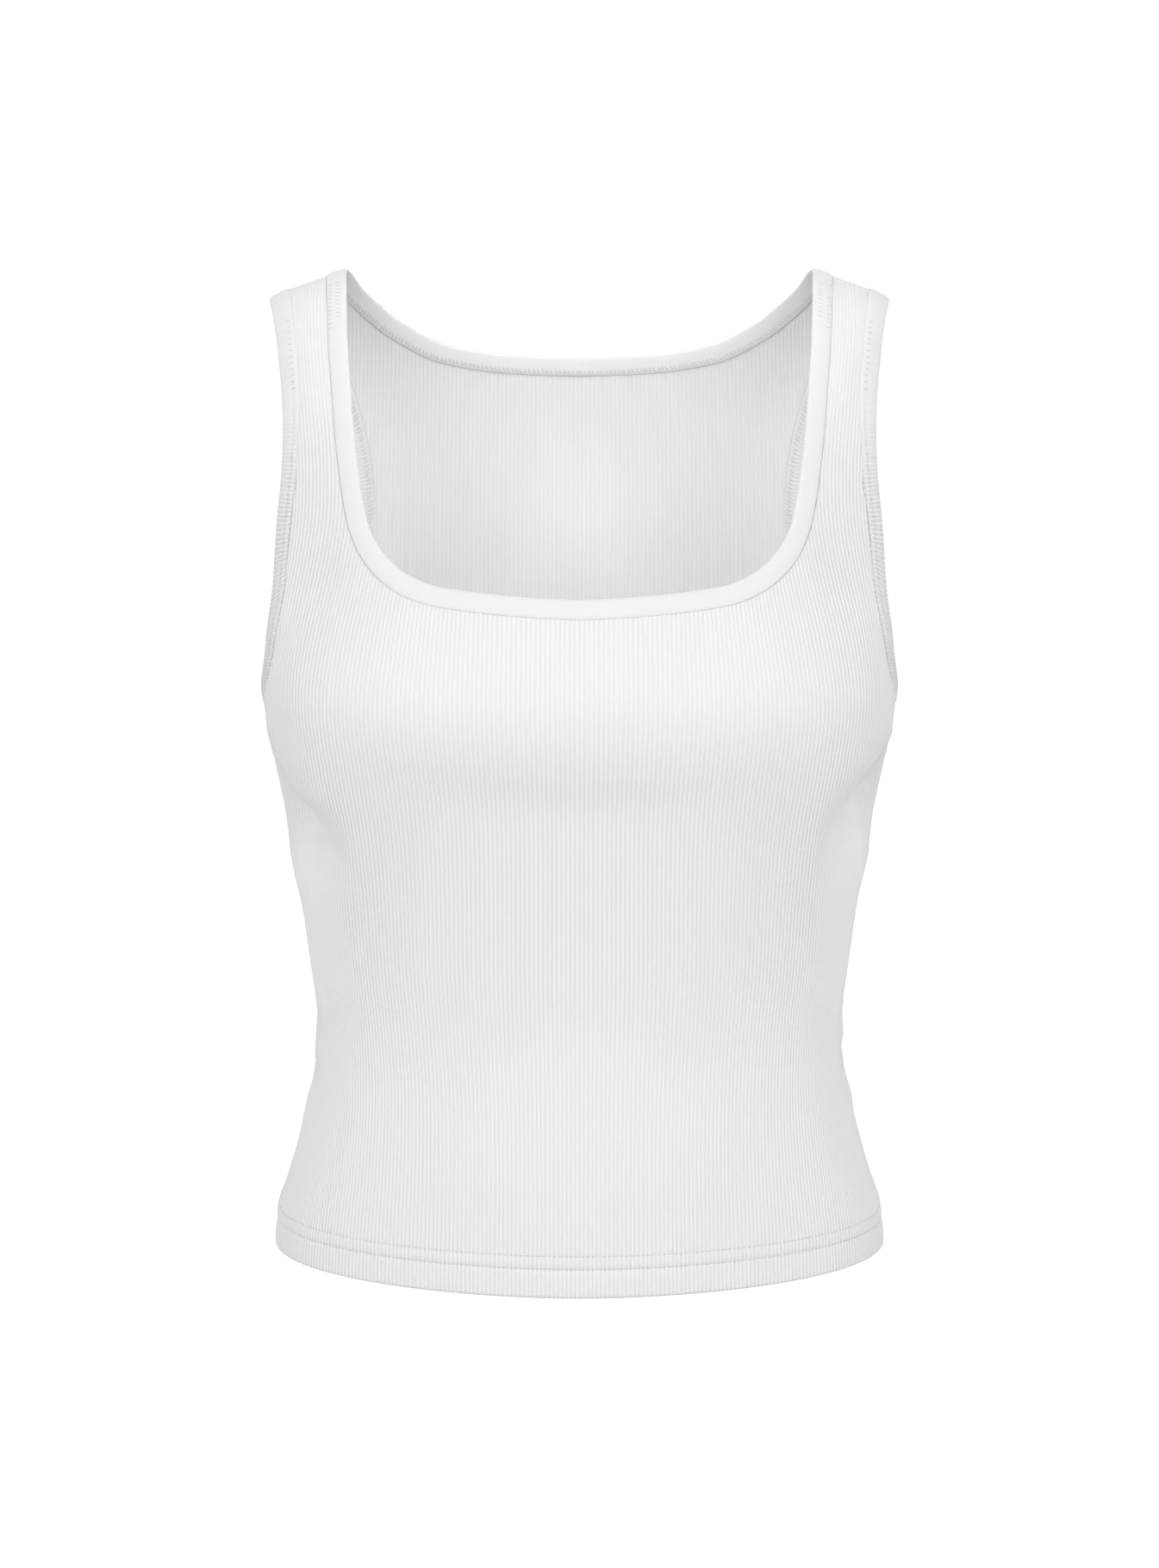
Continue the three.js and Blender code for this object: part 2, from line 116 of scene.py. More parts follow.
# Bindings
BAND_WIDTH = 10.2
BAND_STEP = 0.5  # between the stations along a binding
BAND_DROOP = math.radians(6)  # by which an armhole's strip leans down over the shoulder
BAND_DROOP_REACH = 60
BAND_SPREAD = 1.2  # by which an armhole's strip lies wider on the strap than under the arm
BAND_SPREAD_HEIGHTS = (-90, -40)
BAND_RIB = 2.0  # pitch of the ribs that run across a binding
BAND_RIB_FULL = 0.7  # their rise where they are clearest
BAND_RIB_PLAIN = 0.04  # their rise on the neck binding
BAND_RIB_LEAST = 0.2  # share of the rise that is left on the strap
BAND_RIB_HEIGHTS = (-35, -115)
BAND_RIB_LEVEL = 0.6  # share of a rib's rise that lies under the strip's own face
BAND_SLANT = 0.8  # how far the ribs lean under the arm
BAND_SLANT_HEIGHTS = (-90, -185)
BAND_SMOOTHING = 5  # stations on each side
TOPSTITCH_REACH = 3.4  # of an armhole binding's row of stitches from the cut edge
TOPSTITCH_SUNK = 0.55
TOPSTITCH_WIDTH = 0.6
TOPSTITCH_HEIGHTS = (-18, -62)

# A panel's form: the half sizes of its level section, the section's squareness, where 2 is an ellipse,
# and how far its ribs crowd towards the sides.
FRONT_LEVELS = [
    # height, half_width, depth, power, crowd
    (-474.5, 149.5, 103.0, 2.1, -0.05),
    (-449.5, 147.2, 102.0, 2.1, -0.04),
    (-419.5, 138.5, 100.5, 2.12, 0.0),
    (-389.5, 131.0, 98.5, 2.15, 0.05),
    (-357.5, 127.5, 97.0, 2.2, 0.1),
    (-324.5, 131.3, 98.5, 2.25, 0.1),
    (-289.5, 136.0, 101.0, 2.4, 0.05),
    (-257.5, 141.6, 104.5, 2.6, 0.0),
    (-227.5, 147.0, 112.5, 2.8, -0.03),
    (-197.5, 152.0, 117.0, 2.85, -0.04),
    (-169.5, 154.5, 112.0, 2.7, -0.03),
    (-144.5, 156.0, 104.0, 2.45, 0.0),
    (-109.5, 157.0, 97.0, 2.4, 0.0),
    (-59.5, 156.0, 92.0, 2.4, 0.0),
    (0.5, 153.5, 90.0, 2.4, 0.0),
    (90.5, 152.5, 90.0, 2.4, 0.0),
]
BACK_LEVELS = [
    # height, half_width, depth, power, crowd
    (-474.5, 149.5, 98.0, 2.2, 0.0),
    (-449.5, 147.2, 96.0, 2.2, 0.0),
    (-419.5, 138.5, 89.0, 2.2, 0.0),
    (-389.5, 131.0, 82.0, 2.2, 0.0),
    (-357.5, 127.5, 78.0, 2.25, 0.0),
    (-324.5, 131.3, 79.0, 2.3, 0.0),
    (-289.5, 136.0, 84.0, 2.35, 0.0),
    (-257.5, 141.6, 90.0, 2.4, 0.0),
    (-227.5, 147.0, 95.0, 2.4, 0.0),
    (-197.5, 152.0, 98.0, 2.4, 0.0),
    (-169.5, 154.5, 99.0, 2.4, 0.0),
    (-144.5, 156.0, 98.0, 2.4, 0.0),
    (-109.5, 157.0, 95.0, 2.4, 0.0),
    (-59.5, 156.0, 92.0, 2.4, 0.0),
    (0.5, 153.5, 90.0, 2.4, 0.0),
    (90.5, 152.5, 90.0, 2.4, 0.0),
]

# Cut edges of the panels. share is the part of the half girth from the centre line to the side seam.
FRONT_NECK = [
    # share, height
    (0.0, -156.3),
    (0.112, -155.0),
    (0.24, -152.5),
    (0.34, -149.0),
    (0.421, -141.7),
    (0.488, -129.3),
    (0.53, -113.0),
    (0.564, -83.0),
    (0.59, -46.0),
    (0.612, -7.5),
    (0.63, 59.0),
    (0.634, 85.3),
]
FRONT_ARMHOLE = [
    # share, height
    (1.0, -203.5),
    (0.93, -202.0),
    (0.85, -197.5),
    (0.785, -188.5),
    (0.742, -175.0),
    (0.716, -150.5),
    (0.7, -117.5),
    (0.683, -83.5),
    (0.684, -47.5),
    (0.709, -12.5),
    (0.734, 30.0),
    (0.749, 62.0),
    (0.754, 85.3),
]
BACK_NECK = [
    # share, height
    (0.0, -47.4),
    (0.153, -44.0),
    (0.26, -40.0),
    (0.368, -32.5),
    (0.478, -15.5),
    (0.534, -1.5),
    (0.585, 17.0),
    (0.614, 38.0),
    (0.634, 71.1),
]
BACK_ARMHOLE = [
    # share, height
    (1.0, -203.5),
    (0.93, -202.0),
    (0.85, -198.0),
    (0.76, -189.0),
    (0.67, -174.0),
    (0.59, -155.0),
    (0.532, -134.0),
    (0.509, -115.0),
    (0.514, -95.0),
    (0.532, -74.0),
    (0.564, -50.0),
    (0.619, -19.0),
    (0.664, 10.0),
    (0.72, 45.0),
    (0.754, 71.1),
]

# The front's ribs are drawn inwards beside the neck, by a share of the half girth. The pull is greatest
# at one height and fades below and above it. It grows over the first pair of ribs and ends over the second.
STRAP_PULL = {
    "share": 0.07,
    "height": -104.5,
    "below": 60,
    "above": 75,
    "ribs": (0.15, 0.65),
    "last_ribs": (0.8, 1),
}

# Soft creases, as troughs where depth is over 0 and ridges where it is under 0. side 1 is the wearer's
# left, -1 their right. A crease runs from one place to another on the half panel and fades at its ends.
CREASE_BOW = 0.06  # how far a crease bends, as a share of its length
CREASE_START = (-0.12, 0.3)  # shares of its length in which it deepens
CREASE_END = (0.55, 1.15)  # and in which it fades
FRONT_CREASES = [
    # side, share, height, share_to, height_to, depth, width
    (-1, 0.89, -238, 0.6, -274, 12.2, 18),
    (1, 0.9, -237, 0.62, -271, 11.6, 18),
    (-1, 0.87, -212, 0.6, -246, -2.4, 12),
    (1, 0.88, -211, 0.62, -243, -2.2, 12),
    (1, -0.56, -227, 0.54, -229, 2.1, 13),
    (-1, 1.0, -266, 0.74, -292, -1.6, 13),
    (1, 1.0, -270, 0.76, -290, -1.4, 12),
    (-1, 0.9, -300, 0.72, -322, 0.8, 9),
    (1, 0.92, -304, 0.74, -324, 0.7, 9),
    (-1, 1.0, -377, 0.84, -384, 2.0, 4.5),
    (1, 1.0, -373, 0.86, -380, 1.8, 4.5),
    (-1, 1.0, -365, 0.80, -366, -1.4, 6),
    (1, 1.0, -361, 0.82, -364, -1.3, 6),
    (-1, 0.99, -392, 0.86, -401, -1.1, 5),
    (1, 0.99, -390, 0.87, -398, -1.0, 5),
    (-1, 0.955, -412, 0.935, -452, 1.3, 4),
    (1, 0.955, -416, 0.935, -451, 1.2, 4),
    (-1, 0.985, -440, 0.985, -452, -0.9, 3),
    (1, 0.985, -439, 0.985, -451, -0.8, 3),
    (-1, 0.98, -398, 0.78, -410, -0.7, 9),
    (1, 0.98, -394, 0.80, -404, -0.6, 8),
    (-1, 0.60, -372, 0.20, -378, 0.5, 12),
    (1, 0.52, -366, 0.16, -372, 0.4, 11),
    (-1, 0.72, -12, 0.695, -64, 0.6, 5),
    (1, 0.715, -15, 0.69, -60, 0.5, 5),
    (-1, 0.77, -180, 0.62, -150, 0.6, 8),
    (1, 0.78, -182, 0.64, -154, 0.5, 8),
]
BACK_CREASES = [
    # side, share, height, share_to, height_to, depth, width
    (-1, 0.92, -216, 0.62, -242, 1.6, 12),
    (1, 0.94, -214, 0.66, -238, 1.4, 12),
    (-1, 1.0, -344, 0.55, -352, 1.8, 8),
    (1, 1.0, -348, 0.60, -354, 1.5, 8),
    (-1, 0.95, -366, 0.40, -372, 1.6, 9),
    (1, 0.90, -362, 0.30, -370, 1.7, 9),
    (-1, 1.0, -330, 0.70, -336, -0.9, 8),
    (1, 1.0, -334, 0.74, -338, -0.8, 8),
    (-1, 0.88, -388, 0.50, -392, -1.0, 10),
    (1, 0.86, -384, 0.46, -391, -1.0, 10),
    (-1, 0.66, -176, 0.44, -232, 0.8, 14),
    (1, 0.68, -180, 0.48, -228, 0.7, 14),
]

# taut is how much flatter the ribs lie over the bust, and slack how much more they rise under it.
PANELS = {
    "front": {
        "side": -1,
        "arch": -149.5,
        "levels": FRONT_LEVELS,
        "neck": FRONT_NECK,
        "armhole": FRONT_ARMHOLE,
        "pull": STRAP_PULL["share"],
        "taut": 0.45,
        "slack": 1.0,
        "creases": FRONT_CREASES,
    },
    "back": {
        "side": 1,
        "arch": -124.5,
        "levels": BACK_LEVELS,
        "neck": BACK_NECK,
        "armhole": BACK_ARMHOLE,
        "pull": 0,
        "taut": 0.1,
        "slack": 0.15,
        "creases": BACK_CREASES,
    },
}


def ramp(x, low, high):
    """A soft step from 0 at low to 1 at high, which may be the smaller of the two."""
    u = np.clip((x - low) / (high - low), 0, 1)
    return u * u * (3 - 2 * u)


def hump(x, middle, width):
    """A bell from 1 at the middle to 0 on both sides."""
    return np.exp(-(((x - middle) / width) ** 2))


def row_at(rows, x, key):
    """The columns of a table at each x, along a smooth curve through its rows."""
    table = np.array(rows, dtype=float)
    last = len(table) - 1
    at = np.clip(np.asarray(x, dtype=float), table[0, key], table[last, key])
    i = np.minimum(np.searchsorted(table[1:, key], at, side="left"), last - 1)
    before = table[np.maximum(np.arange(last + 1) - 1, 0)]
    after = table[np.minimum(np.arange(last + 1) + 1, last)]
    slopes = (after - before) / (after[:, key] - before[:, key])[:, None]
    span = (table[i + 1, key] - table[i, key])[..., None]
    u = (at - table[i, key])[..., None] / span
    start = table[i]
    end = table[i + 1]
    leave = slopes[i] * span
    arrive = slopes[i + 1] * span
    bend = 3 * (end - start) - 2 * leave - arrive
    twist = 2 * (start - end) + leave + arrive
    return start + u * (leave + u * (bend + u * twist))


SECTION_STEPS = 160  # chords in a quarter of a section
CHUNK = 6000  # places worked out at once


def section_chunk(half_width, depth, power, share):
    """section_point for a few places."""
    turn = np.linspace(0, math.pi / 2, SECTION_STEPS + 1)
    bend = (2 / power)[:, None]
    x = half_width[:, None] * np.sin(turn) ** bend
    y = depth[:, None] * np.maximum(np.cos(turn), 0) ** bend
    length = np.zeros_like(x)
    length[:, 1:] = np.cumsum(np.hypot(np.diff(x), np.diff(y)), axis=1)
    target = np.clip(share, 0, 1) * length[:, -1]
    k = np.clip((length < target[:, None]).sum(axis=1), 1, SECTION_STEPS)
    row = np.arange(len(k))
    u = (target - length[row, k - 1]) / (length[row, k] - length[row, k - 1])
    return (
        x[row, k - 1] + u * (x[row, k] - x[row, k - 1]),
        y[row, k - 1] + u * (y[row, k] - y[row, k - 1]),
    )


def section_point(levels, share):
    """The point of a quarter of a superellipse at a share of its length from the centre line."""
    shape = share.shape
    flat = levels.reshape(-1, levels.shape[-1])
    wanted = share.ravel()
    x = np.empty(wanted.size)
    y = np.empty(wanted.size)
    for start in range(0, wanted.size, CHUNK):
        part = slice(start, start + CHUNK)
        x[part], y[part] = section_chunk(flat[part, 1], flat[part, 2], flat[part, 3], wanted[part])
    return x.reshape(shape), y.reshape(shape)


def crest(panel):
    """The height along the cloth at which a panel reaches the crest of the shoulder."""
    return panel["arch"] + (SHOULDER_Z - panel["arch"]) * math.pi / 2


def surface(panel, share, height):
    """The outer face of a panel, at the valleys between its ribs."""
    x, y = section_point(row_at(panel["levels"], height, 0), np.abs(share))
    rise = SHOULDER_Z - panel["arch"]
    turn = np.maximum(0, (height - panel["arch"]) / rise)
    arched = np.where(height > panel["arch"], panel["arch"] + rise * np.sin(turn), height)
    lean = 1 - np.cos(turn)
    left = np.maximum(1 - np.sin(turn) ** SHOULDER_POWER, 0) ** (1 / SHOULDER_POWER)
    return np.stack(
        [
            np.sign(share) * x,
            panel["side"] * y * left * np.sign(np.cos(turn)),
            arched - SHOULDER_SLOPE * (x - SHOULDER_X) * lean,
        ],
        axis=-1,
    )


def unit(vectors):
    return vectors / np.maximum(np.linalg.norm(vectors, axis=-1, keepdims=True), 1e-9)


SHARE_STEP = 0.004


def outward(panel, share, height):
    """The direction out of the cloth. At the side seam it points straight sideways."""
    to = surface(panel, np.clip(share + SHARE_STEP, -1, 1), height)
    across = to - surface(panel, np.clip(share - SHARE_STEP, -1, 1), height)
    up = surface(panel, share, height + 1) - surface(panel, share, height - 1)
    normal = unit(np.cross(across, up)) * -panel["side"]
    at_seam = np.abs(share) > 1 - SHARE_STEP
    normal[..., 1] = np.where(at_seam, 0, normal[..., 1])
    return unit(normal)


def share_of_rib(panel, rib, height):
    """Where a rib lies across the half panel, as a share of its girth."""
    number = np.abs(rib)
    crowd = row_at(panel["levels"], height, 0)[..., 4]
    middle = STRAP_PULL["height"]
    reach = np.where(height < middle, STRAP_PULL["below"], STRAP_PULL["above"])
    pull = panel["pull"] * hump(height, middle, reach)
    drawn = ramp(number, *STRAP_PULL["ribs"]) * (1 - ramp(number, *STRAP_PULL["last_ribs"]))
    return np.sign(rib) * (number * (1 + crowd * (1 - number * number)) - pull * drawn)


def inside_panel(panel, rib, height):
    """Whether a place lies on the panel, between its neck and its armhole."""
    share = np.abs(share_of_rib(panel, rib, height))
    past_neck = (height <= panel["neck"][0][1]) | (share >= row_at(panel["neck"], height, 1)[..., 0])
    before_armhole = (height <= ARMPIT) | (share <= row_at(panel["armhole"], height, 1)[..., 0])
    return past_neck & before_armhole


def hung(rib, height):
    """Heights near the hem, lowered towards the centre lines."""
    dip = HEM_DIP * (1 - np.abs(rib) ** HEM_DIP_POWER)
    return height - dip * ramp(height, HEM + HEM_EASE, HEM)


def crease_relief(panel, share, height):
    """How far the soft creases move the cloth out."""
    relief = np.zeros_like(share)
    for side, share_a, height_a, share_b, height_b, depth, width in panel["creases"]:
        ax = side * share_a * QUARTER_GIRTH
        bx = side * share_b * QUARTER_GIRTH
        run = np.array([bx - ax, height_b - height_a], dtype=float)
        long = np.hypot(*run)
        px = share * QUARTER_GIRTH - ax
        py = height - height_a
        along = (px * run[0] + py * run[1]) / long
        off = (px * run[1] - py * run[0]) / long
        reach = along / long
        bow = CREASE_BOW * long * np.sin(np.clip(reach, 0, 1) * math.pi)
        fade = ramp(reach, *CREASE_START) * (1 - ramp(reach, *CREASE_END))
        relief -= depth * fade * hump(off, bow, width)
    return relief


def rib_profile(rib):
    """A rib's round back, from 0 in the valleys to 1 on the crest."""
    return 0.5 - 0.5 * np.cos(rib * RIBS * math.pi)


def rib_strength(panel, rib, height):
    """Ribs lie flatter where the knit is drawn tight, and stand out where it is loose."""
    strap = STRAP_FLATNESS * ramp(height, *STRAP_FLAT)
    number = np.abs(rib)
    middle = 1 - ramp(number, *TAUT_ENDS)
    tight = panel["taut"] * middle * (hump(height, *BUST_BAND) + BELLY_TAUT * hump(height, *BELLY_BAND))
    loose = panel["slack"] * hump(height, *UNDER_BUST_BAND) * hump(number, *UNDER_BUST_RIBS)
    beside_arm = ARM_SLACK * panel["slack"] * hump(height, *ARM_BAND) * ramp(number, *ARM_RIBS)
    return 1 - strap - tight + loose + beside_arm


def beside_bindings(panel, share, height):
    """How far, from 0 to 1, the ribs are pressed flat along the steep stretches of a binding's seam, and
    the depth of the groove along an armhole's seam."""
    to_neck = (np.abs(share) - row_at(panel["neck"], height, 1)[..., 0]) * QUARTER_GIRTH
    to_arm = (row_at(panel["armhole"], height, 1)[..., 0] - np.abs(share)) * QUARTER_GIRTH
    neck_low, neck_high = (panel["neck"][row][1] for row in NECK_STEEP_ROWS)
    by_neck = (1 - ramp(to_neck, *PRESSED_BESIDE)) * ramp(height, neck_low, neck_high)
    by_arm = (1 - ramp(to_arm, *PRESSED_BESIDE)) * ramp(height, *ARMHOLE_STEEP)
    grooved = ramp(height, *ARMHOLE_GROOVE_TOP) * ramp(height, *ARMHOLE_GROOVE_FOOT)
    return np.maximum(by_neck, by_arm), ARMHOLE_GROOVE * hump(to_arm, 0, GROOVE_WIDTH) * grooved


def hem_curl(over_edge):
    """How far the cloth has turned in, from the height over the hem's edge."""
    curl = np.clip(1 - over_edge / HEM_ROUND, 0, 1)
    return HEM_ROUND * (1 - np.sqrt(1 - curl**2))


def hem_relief(rib, over_edge):
    """How far the hem's stitches draw the cloth in and its layers push it out."""
    valley, rib_loss = BETWEEN_RIBS
    between = valley - rib_loss * rib_profile(rib)
    low_row = SUNK_LOW * between * hump(over_edge, STITCH_LOW, SUNK_LOW_WIDTH)
    high_row = SUNK_HIGH * hump(over_edge, STITCH_HIGH, SUNK_HIGH_WIDTH)
    puff = sum(rise * hump(over_edge, middle, width) for middle, width, rise in HEM_PUFFS)
    return puff - low_row - high_row


def rib_loss_at_rows(over_edge):
    """Share of a rib's rise that the hem's rows of stitches press away."""
    low_row = hump(over_edge, STITCH_LOW, PRESSED_LOW_WIDTH)
    return PRESSED_RIB * (low_row + hump(over_edge, STITCH_HIGH, PRESSED_HIGH_WIDTH))


def outer_offset(panel, rib, share, height):
    """How far the outer face lies outside the panel's form, without the creases."""
    over_edge = height - HEM
    pressed, arm_groove = beside_bindings(panel, share, height)
    side_seam = SIDE_GROOVE * hump((1 - np.abs(rib)) * QUARTER_GIRTH, 0, GROOVE_WIDTH)
    shoulder_seam = SHOULDER_GROOVE * hump(height, crest(panel), GROOVE_WIDTH)
    profile = rib_profile(rib) * (1 - pressed) + 0.5 * pressed
    strength = rib_strength(panel, rib, height) * (1 - rib_loss_at_rows(over_edge))
    ribs = RIB_RISE * profile * strength
    seams = side_seam + shoulder_seam + arm_groove
    return ribs + hem_relief(rib, over_edge) - seams - hem_curl(over_edge)


def inner_offset(rib, height):
    """How far the inner face lies outside the panel's form, which is under 0."""
    fold = HEM_FOLD * (1 - ramp(height, *HEM_FOLD_ENDS))
    rolled = HEM_INNER_ROUND * hem_curl(height - HEM)
    return -CLOTH - fold - INNER_RISE * (1 - rib_profile(rib)) + rolled


# Rows of points in a panel's mesh. Those of the hem are heights over its edge, and those at the crest are
# distances below it. The rows between them are evenly spaced in three stretches.
HEM_ROWS = [0, 0.35, 0.9, 1.8, 4, 7.5, 10.5, 12, 12.6, 13, 13.4, 14, 15.8, 17.5, 18.2, 18.6, 19.1, 20, 21.5]
CREST_ROWS = [3, 1.8, 1, 0.4, 0]
BODY_FROM = HEM + 24
STRAP_FROM = -60
BODY_ROWS = 24
UPPER_ROWS = 20
STRAP_ROWS = 18


def row_heights(panel):
    body = np.linspace(BODY_FROM, ARMPIT, BODY_ROWS, endpoint=False)
    upper = np.linspace(ARMPIT, STRAP_FROM, UPPER_ROWS, endpoint=False)
    strap = np.linspace(STRAP_FROM, crest(panel) - CREST_ROWS[0], STRAP_ROWS, endpoint=False)
    top = crest(panel) - np.array(CREST_ROWS)
    return np.concatenate([HEM + np.array(HEM_ROWS), body, upper, strap, top])


HALVINGS = 22
CUT_SHARES = (0.03, 0.97)  # a cut keeps this share of a cell's side on both sides of it


def cut_places(panel, inner, outer):
    """Where the panel's cut edge crosses the lines from points inside it to points outside it."""
    low = np.zeros(len(inner))
    high = np.ones(len(inner))
    for _ in range(HALVINGS):
        middle = (low + high) / 2
        at = inner + middle[:, None] * (outer - inner)
        keep = inside_panel(panel, at[:, 0], at[:, 1])
        low = np.where(keep, middle, low)
        high = np.where(keep, high, middle)
    return inner + np.clip(low, *CUT_SHARES)[:, None] * (outer - inner)


def panel_grid(panel):
    """Spots of a panel as (rib, height) rows, and the outlines of its cells as spot numbers."""
    across = RIBS * COLUMNS // 2
    ribs = np.arange(-across, across + 1) / across
    rows = row_heights(panel)
    rib, height = np.meshgrid(ribs, rows)
    inside = inside_panel(panel, rib, height)
    number = np.full(rib.shape, -1)
    number[inside] = np.arange(inside.sum())
    spots = [np.stack([rib[inside], height[inside]], axis=1)]
    count = int(inside.sum())

    def cuts(a, b):
        """Cut spots on the lines between neighbouring grid points a and b."""
        nonlocal count
        crossed = inside[a] != inside[b]
        from_a = np.stack([rib[a][crossed], height[a][crossed]], axis=1)
        from_b = np.stack([rib[b][crossed], height[b][crossed]], axis=1)
        a_in = inside[a][crossed][:, None]
        places = cut_places(panel, np.where(a_in, from_a, from_b), np.where(a_in, from_b, from_a))
        numbers = np.full(crossed.shape, -1)
        numbers[crossed] = count + np.arange(len(places))
        count += len(places)
        spots.append(places)
        return numbers

    all_rows = slice(None)
    level = cuts((all_rows, slice(None, -1)), (all_rows, slice(1, None)))
    plumb = cuts((slice(None, -1), all_rows), (slice(1, None), all_rows))
    cells = []
    for j, i in zip(*np.nonzero(inside[:-1, :-1] | inside[:-1, 1:] | inside[1:, :-1] | inside[1:, 1:])):
        ring = (
            number[j, i],
            level[j, i],
            number[j, i + 1],
            plumb[j, i + 1],
            number[j + 1, i + 1],
            level[j + 1, i],
            number[j + 1, i],
            plumb[j, i],
        )
        outline = [int(spot) for spot in ring if spot >= 0]
        if len(outline) > 2:
            cells.append(outline)
    return np.concatenate(spots), cells


def open_edges(cells):
    """The edges that only one cell has, as pairs of spots."""
    edges = set()
    for cell in cells:
        edges.update(zip(cell, cell[1:] + cell[:1]))
    return [(a, b) for a, b in edges if (b, a) not in edges]


SHARP_EDGE = math.radians(66)  # more than the bend across a rib


def mesh_object(name, points, faces, uv, material, valley_shade_weight=None):
    """A smooth mesh. Its last argument says at each point how strongly the material darkens the valleys
    with painted shade.
    """
    mesh = bpy.data.meshes.new(name)
    mesh.from_pydata((np.asarray(points) * MM).tolist(), [], faces)
    mesh.validate()
    if valley_shade_weight is not None:
        mesh.attributes.new("valley_shade_weight", "FLOAT", "POINT").data.foreach_set("value", valley_shade_weight)
    layer = mesh.uv_layers.new(name="knit")
    corners = np.empty(len(mesh.loops), dtype=np.int64)
    mesh.loops.foreach_get("vertex_index", corners)
    layer.data.foreach_set("uv", np.asarray(uv)[corners].ravel())
    mesh.polygons.foreach_set("use_smooth", [True] * len(mesh.polygons))
    mesh.set_sharp_from_angle(angle=SHARP_EDGE)
    mesh.materials.append(material)
    mesh.update()
    piece = bpy.data.objects.new(name, mesh)
    bpy.context.scene.collection.objects.link(piece)
    return piece


def panel_piece(name, material):
    """A panel as a shell of two faces, joined by a rim along its edges."""
    panel = PANELS[name]
    spots, cells = panel_grid(panel)
    rib = spots[:, 0]
    height = spots[:, 1]
    low = hung(rib, height)
    share = share_of_rib(panel, rib, low)
    base = surface(panel, share, low)
    out = outward(panel, share, low)
    relief = crease_relief(panel, share, low)
    outer = base + out * (outer_offset(panel, rib, share, height) + relief)[:, None]
    inner = base + out * (inner_offset(rib, height) + relief)[:, None]
    for face in (outer, inner):
        face[:, 1] = panel["side"] * np.maximum(panel["side"] * face[:, 1], SEAM_GAP / 2)
    count = len(spots)
    faces = [list(cell) for cell in cells]
    faces += [[spot + count for spot in reversed(cell)] for cell in cells]
    faces += [[b, a, a + count, b + count] for a, b in open_edges(cells)]
    if panel["side"] > 0:
        faces = [face[::-1] for face in faces]
    outer_uv = np.stack([rib * RIBS / 2, height], axis=1)
    inner_uv = outer_uv + np.array([0.5, 0])
    points = np.concatenate([outer, inner])
    uv = np.concatenate([outer_uv, inner_uv])
    # The ribs' strength also weights the painted shade in the outer valleys; the inner face has a fixed
    # weight.
    valley_shade_weight = np.concatenate([rib_strength(panel, rib, height), np.full(count, INNER_STRENGTH)])
    return mesh_object(f"knit_{name}", points, faces, uv, material, valley_shade_weight)


# Bindings

FINE = 1600  # points from which an edge's length is measured
ALONG_REACH = 4  # stations to each side from which an edge's direction is taken
HOLES = {
    # start: the direction of the edge at its lowest point. into: a rough direction into the opening.
    "neck": {"start": (1, 0, 0), "into": (-1, 0, 1), "droop": 0, "spread": 0},
    "armhole": {"start": (0, 0, 1), "into": (1, 0, 1), "droop": BAND_DROOP, "spread": BAND_SPREAD},
}


def smoothed(values, reach):
    """A running mean over reach neighbours on each side of a closed ring."""
    padded = np.pad(values, ((reach, reach), (0, 0)), mode="wrap")
    total = sum(padded[k : k + len(values)] for k in range(2 * reach + 1))
    return total / (2 * reach + 1)


def station_places(panel, table):
    """Evenly spaced places along a cut edge up to the crest: share, height and distance to the crest."""
    low = table[0][1]
    height = low + (crest(panel) - low) * (1 - np.cos(np.linspace(0, math.pi / 2, FINE + 1)))
    share = row_at(table, height, 1)[:, 0]
    steps = np.diff(surface(panel, share, height), axis=0)
    length = np.concatenate([[0], np.cumsum(np.linalg.norm(steps, axis=1))])
    at = np.linspace(0, length[-1], round(length[-1] / BAND_STEP) + 1)
    return np.interp(at, length, share), np.interp(at, length, height), length[-1] - at


def into_opening(point, out, hole):
    """Directions from a cut edge into its opening, square to the edge and level with the cloth."""
    last = len(point) - 1
    index = np.arange(last + 1)
    along = point[np.minimum(index + ALONG_REACH, last)] - point[np.maximum(index - ALONG_REACH, 0)]
    along[0] = hole["start"]
    along[-1] = (0, 1, 0)
    along = unit(along - (along * out).sum(axis=1, keepdims=True) * out)
    into = np.cross(out, along)
    return into * np.where(into @ np.array(hole["into"], dtype=float) < 0, -1, 1)[:, None]


def edge_stations(panel, table, hole):
    """Points along a cut edge, each with its directions into the opening and out of the cloth."""
    share, height, from_crest = station_places(panel, table)
    point = surface(panel, share, height)
    out = outward(panel, share, height)
    into = into_opening(point, out, hole)
    droop = hole["droop"] * ramp(height, crest(panel) - BAND_DROOP_REACH, crest(panel))[:, None]
    return {
        "point": point,
        "into": into * np.cos(droop) - out * np.sin(droop),
        "out": out * np.cos(droop) + into * np.sin(droop),
        "height": height,
        "spread": hole["spread"] * ramp(height, *BAND_SPREAD_HEIGHTS)[:, None],
        "from_crest": from_crest[:, None],
    }


def joined(parts):
    return {key: np.concatenate([part[key] for part in parts]) for key in parts[0]}


def picked(stations, part):
    return {key: value[part] for key, value in stations.items()}


def mirrored(stations):
    flip = np.array([-1.0, 1, 1])
    turned = dict(stations)
    for key in ("point", "into", "out"):
        turned[key] = stations[key] * flip
    return turned


def over_shoulder(hole):
    """Stations up the front's edge, over the wearer's left shoulder and down the back's edge."""
    front, back = PANELS["front"], PANELS["back"]
    up = edge_stations(front, front[hole], HOLES[hole])
    down = picked(edge_stations(back, back[hole], HOLES[hole]), slice(None, None, -1))
    return joined([up, picked(down, slice(1, None))])


def neck_ring():
    half = over_shoulder("neck")
    other = picked(mirrored(half), slice(-2, 0, -1))
    return joined([half, other])


def armhole_ring(mirror):
    ring = picked(over_shoulder("armhole"), slice(None, -1))
    return mirrored(ring) if mirror else ring


